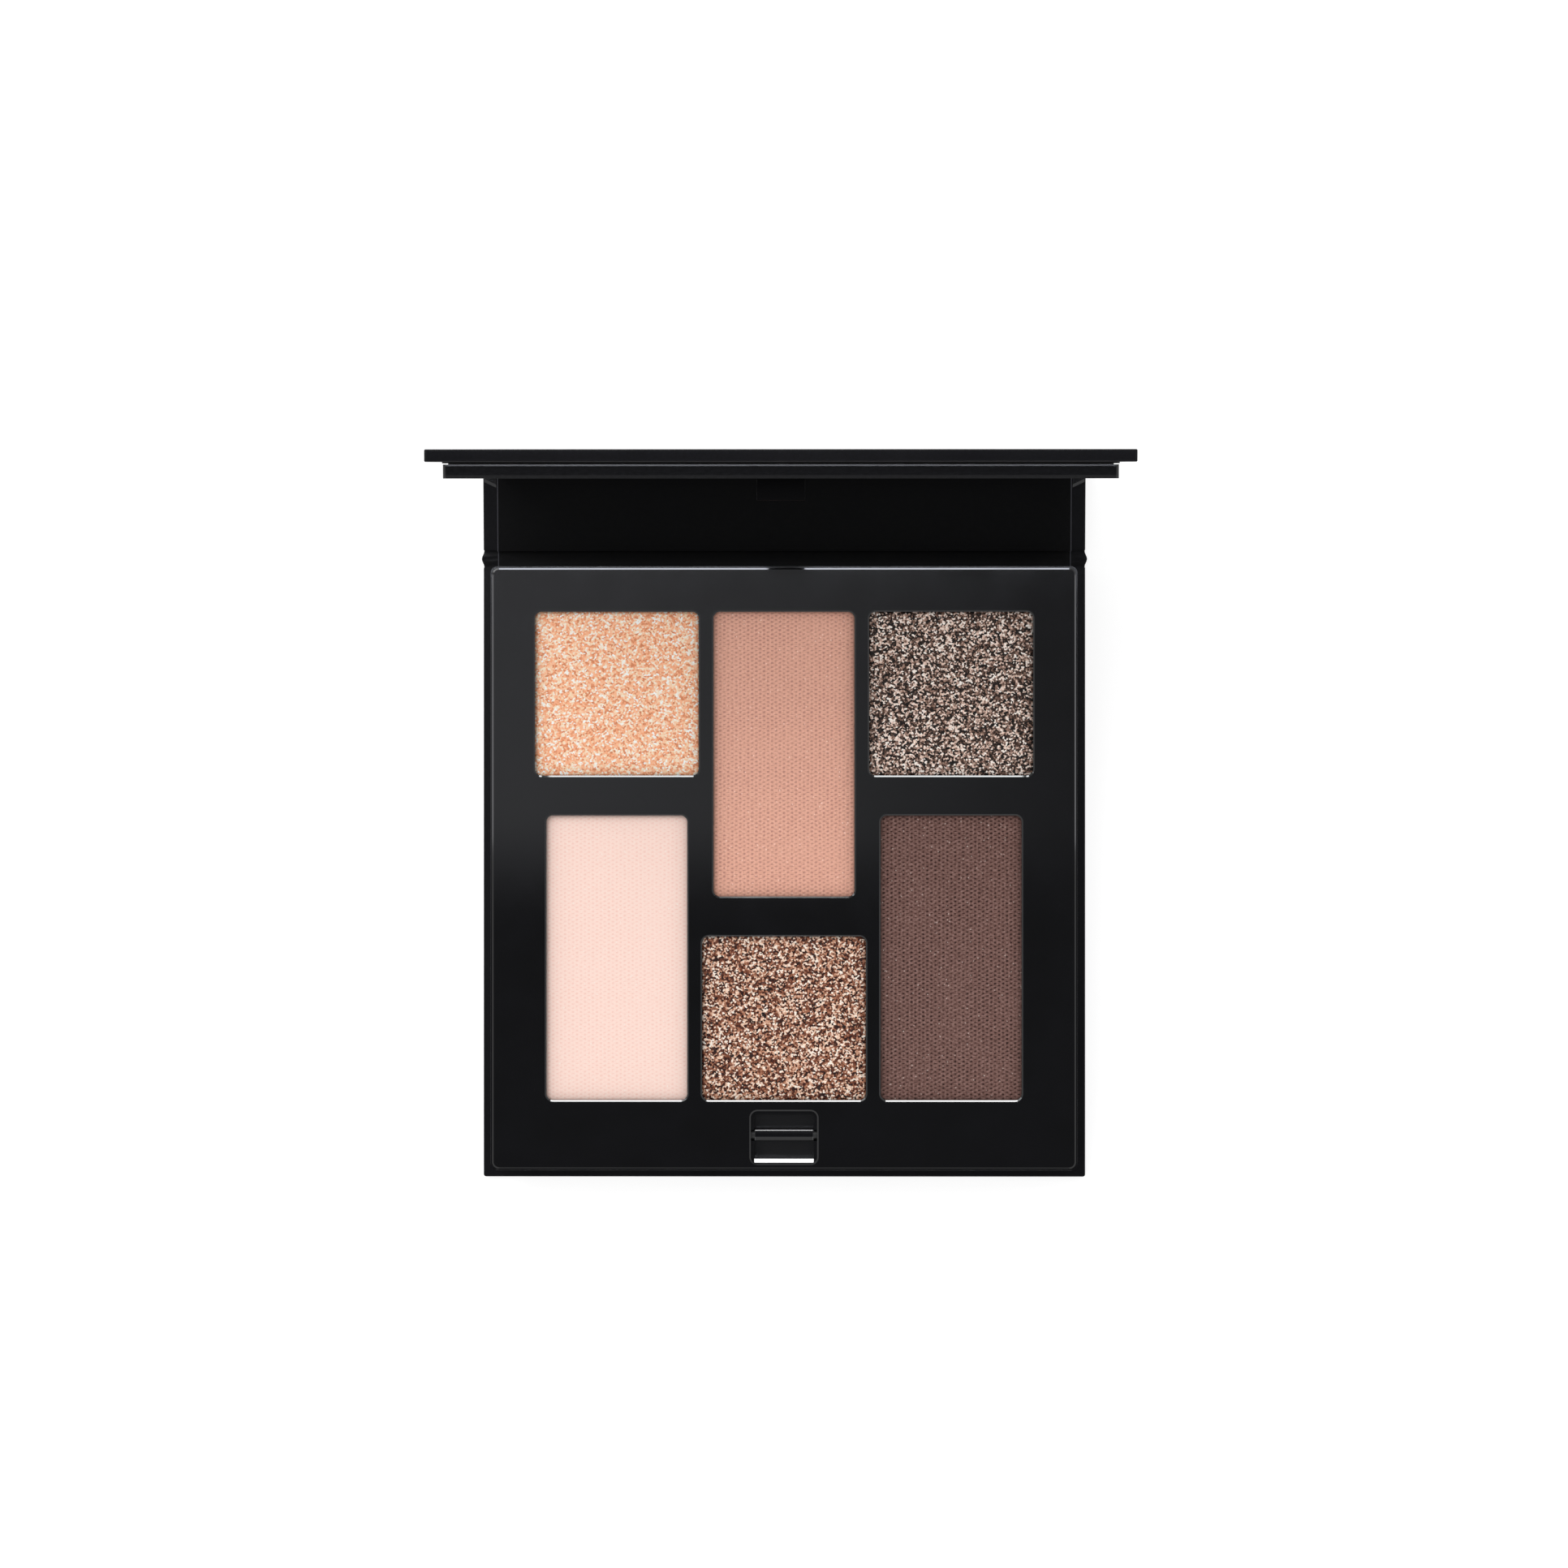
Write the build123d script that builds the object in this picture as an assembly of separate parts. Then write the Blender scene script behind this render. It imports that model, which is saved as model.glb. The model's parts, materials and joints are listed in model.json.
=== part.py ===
from build123d import *

import os

# Wallet-style eyeshadow palette, in millimetres. The origin is the centre of the base panel's
# underside; +Z is up, +Y runs to the fold and +X is to the right with the open lid at the back.
# The open lid and spine are drawn tipped towards the tray by LEAN about the base fold.

# ---- driving sizes ----------------------------------------------------------------------------

# windows in the plate and the plate's borders
SQUARE_WINDOW = 19.5
LONG_WINDOW = (16.8, 33.9)
COLUMN_GAP = 1.75
ROW_GAP = 4.75
SIDE_BORDER = 5.35
REAR_BORDER = 5.45
FRONT_BORDER = 8.4
WINDOW_RADIUS = 0.8

# plate and tray
PLATE_T = 0.8
PLATE_INSET = 0.25
PLATE_EDGE_BREAK = 0.25
TRAY_H = 8.05
TRAY_CORNER = 0.8
TRAY_WALL = 1.0

# pans and powder
PAN_LAP = 0.35
PAN_H = 3.4
PAN_WALL = 0.25
PAN_CLEARANCE = 0.1
GLUE_T = 0.15
GLUE_R = 4.0
POWDER_DROP = 0.1
POWDER_EDGE = 0.3

# catch pocket and its bar
POCKET_OPENING = (7.9, 6.25)
POCKET_FROM_FRONT = 0.85
POCKET_LEDGE = 0.4
POCKET_LIP = 0.05
POCKET_RAMP = 0.45
POCKET_RAMP_DROP = 0.18
POCKET_DEPTH = 3.2
PIN_R = 0.62
PIN_FROM_FRONT = 4.15
PIN_DEPTH = 1.6
PIN_SEAT = 0.9
PIN_CLEARANCE = 0.04

# cover
COVER_SIDE_MARGIN = 1.5
COVER_FRONT_MARGIN = 1.6
COVER_REAR_MARGIN = 0.1
COVER_CORNER = 0.3
BOARD_T = 0.9
WRAP_T = 0.2
TURN_IN = 12.0
LINER_T = 0.15
LINER_MARGIN = 1.7
ADHESIVE_T = 0.1
ADHESIVE_INSET = 0.5
FOLD_CLEARANCE = 0.05

# mirror frame on the lid
FRAME_T = 1.45
FRAME_MARGIN = 1.75
FRAME_FOLD_MARGIN = 1.0
FRAME_CORNER = 0.3
MIRROR_BORDER = 3.5
MIRROR_T = 1.0
MIRROR_TAPE_T = 0.1
CLOSED_GAP = 0.15

# hook on the mirror frame
HOOK_W = 5.0
HOOK_T = 0.8
HOOK_LENGTH = 2.25
HOOK_BEAD = 0.15
HOOK_PIN_GAP = 0.38

# how far the open spine and lid tip towards the tray
LEAN = 4.65

# ---- sizes that follow ------------------------------------------------------------------------

LONG_W, LONG_L = LONG_WINDOW
COLUMN_PITCH = (SQUARE_WINDOW + LONG_W) / 2 + COLUMN_GAP
TRAY_W = 2 * SIDE_BORDER + 2 * COLUMN_PITCH + SQUARE_WINDOW
TRAY_L = FRONT_BORDER + LONG_L + ROW_GAP + SQUARE_WINDOW + REAR_BORDER
PANEL_T = BOARD_T + 2 * WRAP_T
PANEL_L = TRAY_L + COVER_FRONT_MARGIN + COVER_REAR_MARGIN
COVER_W = TRAY_W + 2 * COVER_SIDE_MARGIN
LINER_W = COVER_W - 2 * LINER_MARGIN

SEAT_Z = PANEL_T + LINER_T + ADHESIVE_T
TRAY_TOP = SEAT_Z + TRAY_H
PLATE_TOP = TRAY_TOP + PLATE_T
TRAY_REAR = PANEL_L / 2 - COVER_REAR_MARGIN
TRAY_FRONT = TRAY_REAR - TRAY_L
TRAY_MID = (TRAY_REAR + TRAY_FRONT) / 2

# The fold lines run along the top of the hinge layers, so the layers never meet as they bend, and
# the tails are just long enough for two lined panels to close to a right angle.
FOLD_Z = 2 * WRAP_T + LINER_T
PANEL_RISE = PANEL_T - FOLD_Z
FOLD_TAIL = WRAP_T + LINER_T + PANEL_RISE + LINER_T + FOLD_CLEARANCE
BASE_FOLD_Y = PANEL_L / 2 + FOLD_TAIL
LID_STACK = SEAT_Z - PANEL_T + FRAME_T
FOLD_PITCH = PLATE_TOP + CLOSED_GAP + LID_STACK + PANEL_RISE - FOLD_Z
SPINE_L = FOLD_PITCH - 2 * FOLD_TAIL
LID_FOLD_Y = BASE_FOLD_Y + FOLD_PITCH
SPINE_MID_Y = BASE_FOLD_Y + FOLD_PITCH / 2
LID_MID_Y = LID_FOLD_Y + FOLD_TAIL + PANEL_L / 2

FRAME_W = COVER_W - 2 * FRAME_MARGIN
FRAME_L = PANEL_L - FRAME_MARGIN - FRAME_FOLD_MARGIN
PIN_Y = TRAY_FRONT + PIN_FROM_FRONT
PIN_Z = PLATE_TOP - PIN_DEPTH

# Window centres: the middle column runs the other way round from its neighbours.
REAR_LINE = TRAY_REAR - REAR_BORDER
FRONT_LINE = TRAY_FRONT + FRONT_BORDER
SQUARE = (SQUARE_WINDOW, SQUARE_WINDOW)
SQUARE_PLACES = [
    (-COLUMN_PITCH, REAR_LINE - SQUARE_WINDOW / 2),
    (COLUMN_PITCH, REAR_LINE - SQUARE_WINDOW / 2),
    (0, FRONT_LINE + SQUARE_WINDOW / 2),
]
LONG_PLACES = [
    (-COLUMN_PITCH, FRONT_LINE + LONG_L / 2),
    (0, REAR_LINE - LONG_L / 2),
    (COLUMN_PITCH, FRONT_LINE + LONG_L / 2),
]
CELLS = [("square", place, SQUARE) for place in SQUARE_PLACES]
CELLS += [("long", place, LONG_WINDOW) for place in LONG_PLACES]

pieces = {}


# ---- helpers ----------------------------------------------------------------------------------

def block(x, y, z):
    """A box between two values on each axis."""
    size = [pair[1] - pair[0] for pair in (x, y, z)]
    middle = [(pair[0] + pair[1]) / 2 for pair in (x, y, z)]
    return Pos(*middle) * Box(*size)


def rounded_block(width, length, z, radius, centre=(0, 0)):
    """A plate with round corners between two heights."""
    outline = Pos(centre[0], centre[1], z[0]) * RectangleRounded(width, length, radius)
    return extrude(outline, z[1] - z[0])


def mirrored(solid):
    """A solid and its twin across the middle plane."""
    return solid + mirror(solid, about=Plane.YZ)


# ---- cover: the same wrapped panel makes the base, the spine and the lid ------------------------

def wrap(length, front_fold, rear_fold):
    """The cover sheet round one board, inner face up, with a tail at each end that folds."""
    half_w = COVER_W / 2
    half_l = length / 2
    front = -half_l if front_fold else -half_l + WRAP_T
    rear = half_l if rear_fold else half_l - WRAP_T
    in_front = -half_l if front_fold else -half_l + TURN_IN
    in_rear = half_l if rear_fold else half_l - TURN_IN
    sheet = block((-half_w, half_w), (-half_l, half_l), (0, PANEL_T))
    for folds, sign in ((front_fold, -1), (rear_fold, 1)):
        if not folds:
            corners = [e for e in sheet.edges().filter_by(Axis.Z) if e.center().Y * sign > 0]
            sheet = fillet(corners, COVER_CORNER)
    sheet -= block((-half_w + WRAP_T, half_w - WRAP_T), (front, rear), (WRAP_T, PANEL_T - WRAP_T))
    opening = half_w - TURN_IN
    sheet -= block((-opening, opening), (in_front, in_rear), (PANEL_T - WRAP_T, PANEL_T))
    for folds, sign in ((front_fold, -1), (rear_fold, 1)):
        if folds:
            ends = sorted((sign * half_l, sign * (half_l + FOLD_TAIL)))
            drop = sorted((sign * half_l, sign * (half_l + WRAP_T)))
            sheet += block((-half_w, half_w), ends, (0, WRAP_T))
            sheet += mirrored(block((opening, half_w), ends, (WRAP_T, 2 * WRAP_T)))
            sheet += mirrored(block((opening, half_w), drop, (2 * WRAP_T, PANEL_T)))
    return sheet


def board(length, front_fold, rear_fold):
    """The stiff board inside a wrapped panel."""
    half_w = COVER_W / 2 - WRAP_T
    front = -length / 2 + (0 if front_fold else WRAP_T)
    rear = length / 2 - (0 if rear_fold else WRAP_T)
    return block((-half_w, half_w), (front, rear), (WRAP_T, PANEL_T - WRAP_T))


def liner(length, front_fold, rear_fold):
    """The lining sheet over one panel, stepping down into each fold."""
    half_w = LINER_W / 2
    half_l = length / 2
    step = half_l + WRAP_T + LINER_T
    tail = half_l + FOLD_TAIL
    top = (PANEL_T, PANEL_T + LINER_T)
    front = -step if front_fold else -half_l + LINER_MARGIN
    rear = step if rear_fold else half_l - LINER_MARGIN
    sheet = block((-half_w, half_w), (front, rear), top)
    for folds, sign in ((front_fold, -1), (rear_fold, 1)):
        if folds:
            down = sorted((sign * (half_l + WRAP_T), sign * step))
            out = sorted((sign * step, sign * tail))
            sheet += block((-half_w, half_w), down, (2 * WRAP_T, PANEL_T))
            sheet += block((-half_w, half_w), out, (2 * WRAP_T, FOLD_Z))
    return sheet


def folded(angle, y):
    """A turn about the fold line at y; a positive angle brings the inner faces together."""
    return Pos(0, y, FOLD_Z) * Rot(angle, 0, 0) * Pos(0, -y, -FOLD_Z)


SPINE_AT_REST = folded(LEAN, BASE_FOLD_Y)
LID_AT_REST = SPINE_AT_REST * folded(90, LID_FOLD_Y)
PANELS = {
    "base": (PANEL_L, False, True, Location()),
    "spine": (SPINE_L, True, True, SPINE_AT_REST * Pos(0, SPINE_MID_Y, 0)),
    "lid": (PANEL_L, True, False, LID_AT_REST * Pos(0, LID_MID_Y, 0)),
}
for name, (length, front_fold, rear_fold, place) in PANELS.items():
    pieces[f"{name}_wrap"] = place * wrap(length, front_fold, rear_fold)
    pieces[f"{name}_board"] = place * board(length, front_fold, rear_fold)
    pieces[f"{name}_liner"] = place * liner(length, front_fold, rear_fold)
LID_PLACE = PANELS["lid"][3]


# ---- tray: an upturned moulding with a well for each pan and the catch pocket -------------------

def pan_outline(size, extra):
    """Width, length and corner radius of a pan's outside, grown by extra on every side."""
    grow = 2 * (PAN_LAP + extra)
    return size[0] + grow, size[1] + grow, WINDOW_RADIUS + PAN_LAP + extra


WELL_DEPTH = PAN_H + GLUE_T
WELL_FLOOR = TRAY_TOP - WELL_DEPTH
POCKET_Y = (
    TRAY_FRONT + POCKET_FROM_FRONT + POCKET_LIP + POCKET_RAMP,
    TRAY_FRONT + POCKET_FROM_FRONT + POCKET_OPENING[1] - POCKET_LEDGE,
)
POCKET_HALF_W = POCKET_OPENING[0] / 2 - POCKET_LEDGE
POCKET_FLOOR = PLATE_TOP - POCKET_DEPTH
PIN_BOSS = PIN_SEAT + TRAY_WALL / 2


def pocket(grow):
    """The catch pocket's hollow, grown by a wall thickness to the sides and down."""
    half_w = POCKET_HALF_W + grow
    ends = (POCKET_Y[0] - grow, POCKET_Y[1] + grow)
    return block((-half_w, half_w), ends, (POCKET_FLOOR - grow, TRAY_TOP))


def pin_slot():
    """The notch that the bar is laid in, open at the tray's top."""
    half_l = POCKET_HALF_W + PIN_SEAT
    radius = PIN_R + PIN_CLEARANCE
    seat = Pos(0, PIN_Y, PIN_Z) * Rot(0, 90, 0) * Cylinder(radius, 2 * half_l)
    return seat + block((-half_l, half_l), (PIN_Y - radius, PIN_Y + radius), (PIN_Z, TRAY_TOP))


def tray():
    body = rounded_block(TRAY_W, TRAY_L, (SEAT_Z, TRAY_TOP), TRAY_CORNER, (0, TRAY_MID))
    core = rounded_block(
        TRAY_W - 2 * TRAY_WALL,
        TRAY_L - 2 * TRAY_WALL,
        (SEAT_Z, TRAY_TOP - TRAY_WALL),
        TRAY_CORNER / 2,
        (0, TRAY_MID),
    )
    wells = []
    for _, place, size in CELLS:
        width, length, radius = pan_outline(size, PAN_CLEARANCE)
        wells.append(rounded_block(width, length, (WELL_FLOOR, TRAY_TOP), radius, place))
        width, length, radius = pan_outline(size, PAN_CLEARANCE + TRAY_WALL)
        core -= rounded_block(
            width, length, (WELL_FLOOR - TRAY_WALL, TRAY_TOP), radius, place
        )
    core -= pocket(TRAY_WALL)
    core -= block(
        (-POCKET_HALF_W - PIN_BOSS, POCKET_HALF_W + PIN_BOSS),
        (PIN_Y - PIN_R - TRAY_WALL, PIN_Y + PIN_R + TRAY_WALL),
        (PIN_Z - PIN_R - TRAY_WALL, TRAY_TOP),
    )
    # ribs under the floor, one across and one along, carry the middle of the tray
    for rib in (
        block((-TRAY_WALL / 2, TRAY_WALL / 2), (TRAY_FRONT, TRAY_REAR), (SEAT_Z, TRAY_TOP)),
        block(
            (-TRAY_W / 2, TRAY_W / 2),
            (TRAY_MID - TRAY_WALL / 2, TRAY_MID + TRAY_WALL / 2),
            (SEAT_Z, TRAY_TOP),
        ),
    ):
        core -= rib
    body -= core
    for well in wells:
        body -= well
    body -= pocket(0)
    ramp = Plane.YZ * Polyline(
        (POCKET_Y[0] - POCKET_RAMP, TRAY_TOP),
        (POCKET_Y[0], TRAY_TOP - POCKET_RAMP_DROP),
        (POCKET_Y[0], TRAY_TOP),
        close=True,
    )
    body -= extrude(make_face(ramp), POCKET_HALF_W, both=True)
    return body - pin_slot()


# The tray is one moulding. The part of it round the catch pocket is a piece of its own here, cut
# off beside the bar's bosses and halfway through the wall between the pocket and the wells.
WELL_FRONT = FRONT_LINE - PAN_LAP - PAN_CLEARANCE
HOUSING = block(
    (-POCKET_HALF_W - PIN_BOSS, POCKET_HALF_W + PIN_BOSS),
    (TRAY_FRONT, (POCKET_Y[1] + WELL_FRONT) / 2),
    (SEAT_Z, TRAY_TOP),
)
moulding = tray()
pieces["pan_tray"] = moulding - HOUSING
pieces["catch_housing"] = moulding & HOUSING
pieces["tray_adhesive"] = rounded_block(
    TRAY_W - 2 * ADHESIVE_INSET,
    TRAY_L - 2 * ADHESIVE_INSET,
    (PANEL_T + LINER_T, SEAT_Z),
    TRAY_CORNER,
    (0, TRAY_MID),
)
pieces["catch_pin"] = (
    Pos(0, PIN_Y, PIN_Z)
    * Rot(0, 90, 0)
    * Cylinder(PIN_R, 2 * (POCKET_HALF_W + PIN_SEAT - PIN_CLEARANCE))
)


# ---- plate: six windows and the catch opening --------------------------------------------------

def plate():
    width = TRAY_W - 2 * PLATE_INSET
    length = TRAY_L - 2 * PLATE_INSET
    sheet = rounded_block(width, length, (TRAY_TOP, PLATE_TOP), TRAY_CORNER, (0, TRAY_MID))
    for _, place, (window_w, window_l) in CELLS:
        sheet -= rounded_block(
            window_w, window_l, (TRAY_TOP, PLATE_TOP), WINDOW_RADIUS, place
        )
    opening_mid = TRAY_FRONT + POCKET_FROM_FRONT + POCKET_OPENING[1] / 2
    sheet -= rounded_block(
        *POCKET_OPENING, (TRAY_TOP, PLATE_TOP), WINDOW_RADIUS, (0, opening_mid)
    )
    top = sheet.faces().sort_by(Axis.Z)[-1]
    return fillet(top.edges(), PLATE_EDGE_BREAK)


pieces["bezel_plate"] = plate()


# ---- pans and powders --------------------------------------------------------------------------

PAN_FLOOR = WELL_FLOOR + GLUE_T
PAN_RIM = PAN_FLOOR + PAN_H


def pan(place, size):
    width, length, radius = pan_outline(size, 0)
    shell = rounded_block(width, length, (PAN_FLOOR, PAN_RIM), radius, place)
    return shell - rounded_block(
        width - 2 * PAN_WALL,
        length - 2 * PAN_WALL,
        (PAN_FLOOR + PAN_WALL, PAN_RIM),
        radius - PAN_WALL,
        place,
    )


def powder(place, size):
    width, length, radius = pan_outline(size, -PAN_WALL)
    top = PAN_RIM - POWDER_DROP
    cake = rounded_block(width, length, (PAN_FLOOR + PAN_WALL, top), radius, place)
    return fillet(cake.faces().sort_by(Axis.Z)[-1].edges(), POWDER_EDGE)


counts = {"square": 0, "long": 0}
glue = []
for shape, place, size in CELLS:
    counts[shape] += 1
    pieces[f"{shape}_pan_{counts[shape]}"] = pan(place, size)
    pieces[f"{shape}_powder_{counts[shape]}"] = powder(place, size)
    glue.append(Pos(*place, WELL_FLOOR + GLUE_T / 2) * Cylinder(GLUE_R, GLUE_T))
pieces["pan_glue"] = Compound(children=glue)


# ---- mirror frame, its mirror and the hook, drawn flat over the lid panel -----------------------

# Lengths run from the panel's fold end, at -PANEL_L / 2, to its free edge.
FRAME_MID = (FRAME_FOLD_MARGIN - FRAME_MARGIN) / 2
FRAME_TOP = SEAT_Z + FRAME_T
MIRROR_SIZE = (FRAME_W - 2 * MIRROR_BORDER, FRAME_L - 2 * MIRROR_BORDER)
MIRROR_FLOOR = FRAME_TOP - MIRROR_T - MIRROR_TAPE_T
# With the palette closed, a length along the lid panel is the same length along the base, seen
# from the other side, so the bar's place in the lid's frame is its base place reversed.
PIN_ALONG_LID = -PIN_Y


def hook():
    """A short tongue that drops in front of the bar, with a bead facing it."""
    back = PIN_ALONG_LID + PIN_R + HOOK_PIN_GAP
    front = back + HOOK_T
    tip = FRAME_TOP + HOOK_LENGTH
    tongue = block((-HOOK_W / 2, HOOK_W / 2), (back + HOOK_BEAD, front), (FRAME_TOP, tip))
    bead = Plane.YZ * Polyline(
        (back + HOOK_BEAD, tip),
        (back, tip - 2 * HOOK_BEAD),
        (back + HOOK_BEAD, tip - 4 * HOOK_BEAD),
        close=True,
    )
    return tongue + extrude(make_face(bead), HOOK_W / 2, both=True)


def mirror_frame():
    body = rounded_block(FRAME_W, FRAME_L, (SEAT_Z, FRAME_TOP), FRAME_CORNER, (0, FRAME_MID))
    rim = body.faces().sort_by(Axis.Z)[-1]
    body = fillet(rim.edges(), PLATE_EDGE_BREAK)
    body -= rounded_block(
        *MIRROR_SIZE, (MIRROR_FLOOR, FRAME_TOP), FRAME_CORNER, (0, FRAME_MID)
    )
    return body + hook()


pieces["mirror_frame"] = LID_PLACE * mirror_frame()
pieces["mirror_tape"] = LID_PLACE * rounded_block(
    *MIRROR_SIZE,
    (MIRROR_FLOOR, MIRROR_FLOOR + MIRROR_TAPE_T),
    FRAME_CORNER,
    (0, FRAME_MID),
)
pieces["mirror_glass"] = LID_PLACE * rounded_block(
    *MIRROR_SIZE, (MIRROR_FLOOR + MIRROR_TAPE_T, FRAME_TOP), FRAME_CORNER, (0, FRAME_MID)
)
pieces["frame_adhesive"] = LID_PLACE * rounded_block(
    FRAME_W - 2 * ADHESIVE_INSET,
    FRAME_L - 2 * ADHESIVE_INSET,
    (PANEL_T + LINER_T, SEAT_Z),
    FRAME_CORNER,
    (0, FRAME_MID),
)


# ---- one STEP file for each piece ---------------------------------------------------------------

os.makedirs("parts", exist_ok=True)
for name, piece in pieces.items():
    export_step(piece, f"parts/{name}.step")

print(f"cover {COVER_W:.2f} x {PANEL_L:.2f}, closed {FOLD_Z * 2 + FOLD_PITCH:.2f} thick")
print(f"base fold y {BASE_FOLD_Y:.3f} z {FOLD_Z:.3f}, pitch {FOLD_PITCH:.3f}, lean {LEAN}")
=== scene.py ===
import json
import math
import random

import bmesh
import bpy
from mathutils import Matrix, Vector, noise


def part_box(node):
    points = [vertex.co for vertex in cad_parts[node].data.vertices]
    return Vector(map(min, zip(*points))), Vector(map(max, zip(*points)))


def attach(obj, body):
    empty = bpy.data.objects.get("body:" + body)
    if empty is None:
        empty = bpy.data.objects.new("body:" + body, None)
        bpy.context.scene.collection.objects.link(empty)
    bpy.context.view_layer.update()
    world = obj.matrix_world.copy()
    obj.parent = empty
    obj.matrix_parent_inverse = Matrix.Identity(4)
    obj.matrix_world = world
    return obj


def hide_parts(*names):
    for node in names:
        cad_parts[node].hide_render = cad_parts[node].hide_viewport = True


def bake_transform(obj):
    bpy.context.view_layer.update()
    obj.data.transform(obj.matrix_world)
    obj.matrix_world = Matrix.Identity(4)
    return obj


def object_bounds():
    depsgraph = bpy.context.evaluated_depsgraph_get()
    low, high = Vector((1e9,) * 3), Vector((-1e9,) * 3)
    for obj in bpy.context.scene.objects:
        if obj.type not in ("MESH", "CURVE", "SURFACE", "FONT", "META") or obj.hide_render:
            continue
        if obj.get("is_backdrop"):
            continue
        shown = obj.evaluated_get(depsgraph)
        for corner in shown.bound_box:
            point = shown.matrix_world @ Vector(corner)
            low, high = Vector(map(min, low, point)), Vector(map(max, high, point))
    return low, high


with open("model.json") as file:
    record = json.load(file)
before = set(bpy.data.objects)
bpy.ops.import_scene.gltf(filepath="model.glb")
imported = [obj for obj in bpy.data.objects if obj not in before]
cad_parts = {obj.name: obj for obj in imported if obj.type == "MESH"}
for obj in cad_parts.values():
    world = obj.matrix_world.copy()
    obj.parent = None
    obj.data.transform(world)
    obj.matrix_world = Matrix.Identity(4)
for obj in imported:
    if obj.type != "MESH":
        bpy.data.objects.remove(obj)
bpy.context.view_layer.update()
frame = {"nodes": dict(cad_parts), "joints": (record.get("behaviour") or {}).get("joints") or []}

MM = 0.001


# ---- camera -------------------------------------------------------------------------------------
# The palette lies open on a table, and the camera hangs straight above it, with the lid edge-on.
# It is close enough that the lid's free edge, nearer to the lens, looks wider than the base.
CAMERA_HEIGHT = 477 * MM
CAMERA_X = 2.4 * MM
CAMERA_Y = 10.8 * MM
CAMERA_TURN = math.radians(0.294)
CAMERA_LENS = 90

camera_data = bpy.data.cameras.new("camera")
camera_data.lens = CAMERA_LENS
camera_data.sensor_width = 36
camera_data.clip_start = 10 * MM
camera = bpy.data.objects.new("camera", camera_data)
camera.location = (CAMERA_X, CAMERA_Y, CAMERA_HEIGHT)
camera.rotation_euler.y = CAMERA_TURN
bpy.context.collection.objects.link(camera)
scene = bpy.context.scene
scene.camera = camera
scene.view_settings.view_transform = "Standard"


# ---- studio -------------------------------------------------------------------------------------
# A white room with soft light from all round, and a dark ceiling overhead whose rear half is lit,
# most to the left. The cards and the ceiling strip only show as reflections, in polished edges.
ROOM_LIGHT = 0.92
CEILING_RISE = (0.91, 0.975)
CEILING_DARK = "58595c"
CEILING_LIT = [(0.0, "cecfd4"), (0.42, "b0b1b5"), (0.72, "808185"), (1.0, "5c5d60")]
CEILING_WIDTH = (-0.07, 0.11)
CEILING_STEP = (-0.034, -0.006)
CARD_DISTANCE = 0.9
# Each card: which way it stands, how high in degrees, its sideways shift, its size and its light.
CARDS = {
    "front_card": ((0, -1), 40.8, 0, (0.3, 0.08), (24, 24, 24)),
    "rear_card": ((0, 1), 53.2, 0, (0.3, 0.08), (24, 24, 24)),
    "ceiling_strip": ((0, 1), 83.4, 0, (0.24, 0.0126), (13, 13.5, 15)),
    "left_card": ((-1, 0), 56.5, 0.045, (0.11, 0.08), (2.0, 2.0, 2.1)),
    "right_card": ((1, 0), 56.5, 0.045, (0.11, 0.08), (1.8, 1.8, 1.9)),
}
LAMP_PLACE = Vector((-0.35, 0.45, 0.95))
LAMP_SIZE = 0.5
LAMP_POWER = 2.8
FLOOR_SIZE = 8
# The paper glows a little to the lens, so that it shows white.
TABLE_GLOW = 0.72


def add(tree, kind, values=None, stops=(), **settings):
    """Adds a node: values sets or links its inputs, stops its ramp, and settings its options."""
    made = tree.nodes.new(kind)
    for key, value in settings.items():
        setattr(made, key, value)
    if stops:
        points = made.color_ramp.elements
        points.remove(points[1])
        while len(points) < len(stops):
            points.new(1)
        for point, (position, tone) in zip(points, stops):
            point.position = position
            point.color = linear(tone)
    for socket, value in (values or {}).items():
        if isinstance(value, bpy.types.NodeSocket):
            tree.links.new(value, made.inputs[socket])
        else:
            made.inputs[socket].default_value = value
    return made


def linear(code):
    """A hex sRGB colour as linear red, green, blue and an alpha of 1."""
    shares = [value / 255 for value in bytes.fromhex(code)]
    return [s / 12.92 if s <= 0.04045 else ((s + 0.055) / 1.055) ** 2.4 for s in shares] + [1]


world = bpy.data.worlds.new("white room")
world.use_nodes = True
scene.world = world
sky = world.node_tree
sky.nodes.clear()
way = add(sky, "ShaderNodeTexCoord").outputs["Generated"]
axes = add(sky, "ShaderNodeSeparateXYZ", {0: way}).outputs
across = add(
    sky, "ShaderNodeMapRange", {0: axes["X"], 1: CEILING_WIDTH[0], 2: CEILING_WIDTH[1]}
)
lit_ceiling = add(sky, "ShaderNodeValToRGB", {"Fac": across.outputs[0]}, stops=CEILING_LIT)
step = add(
    sky,
    "ShaderNodeMapRange",
    {0: axes["Y"], 1: CEILING_STEP[0], 2: CEILING_STEP[1]},
    interpolation_type="SMOOTHSTEP",
)
ceiling = add(
    sky,
    "ShaderNodeMix",
    {0: step.outputs[0], 6: linear(CEILING_DARK), 7: lit_ceiling.outputs[0]},
    data_type="RGBA",
)
overhead = add(
    sky,
    "ShaderNodeMapRange",
    {0: axes["Z"], 1: CEILING_RISE[0], 2: CEILING_RISE[1]},
    interpolation_type="SMOOTHSTEP",
)
room = add(
    sky,
    "ShaderNodeMix",
    {0: overhead.outputs[0], 6: (ROOM_LIGHT, ROOM_LIGHT, ROOM_LIGHT, 1), 7: ceiling.outputs[2]},
    data_type="RGBA",
)
seen = add(sky, "ShaderNodeLightPath").outputs["Is Camera Ray"]
shown = add(
    sky, "ShaderNodeMix", {0: seen, 6: room.outputs[2], 7: (1, 1, 1, 1)}, data_type="RGBA"
)
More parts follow.
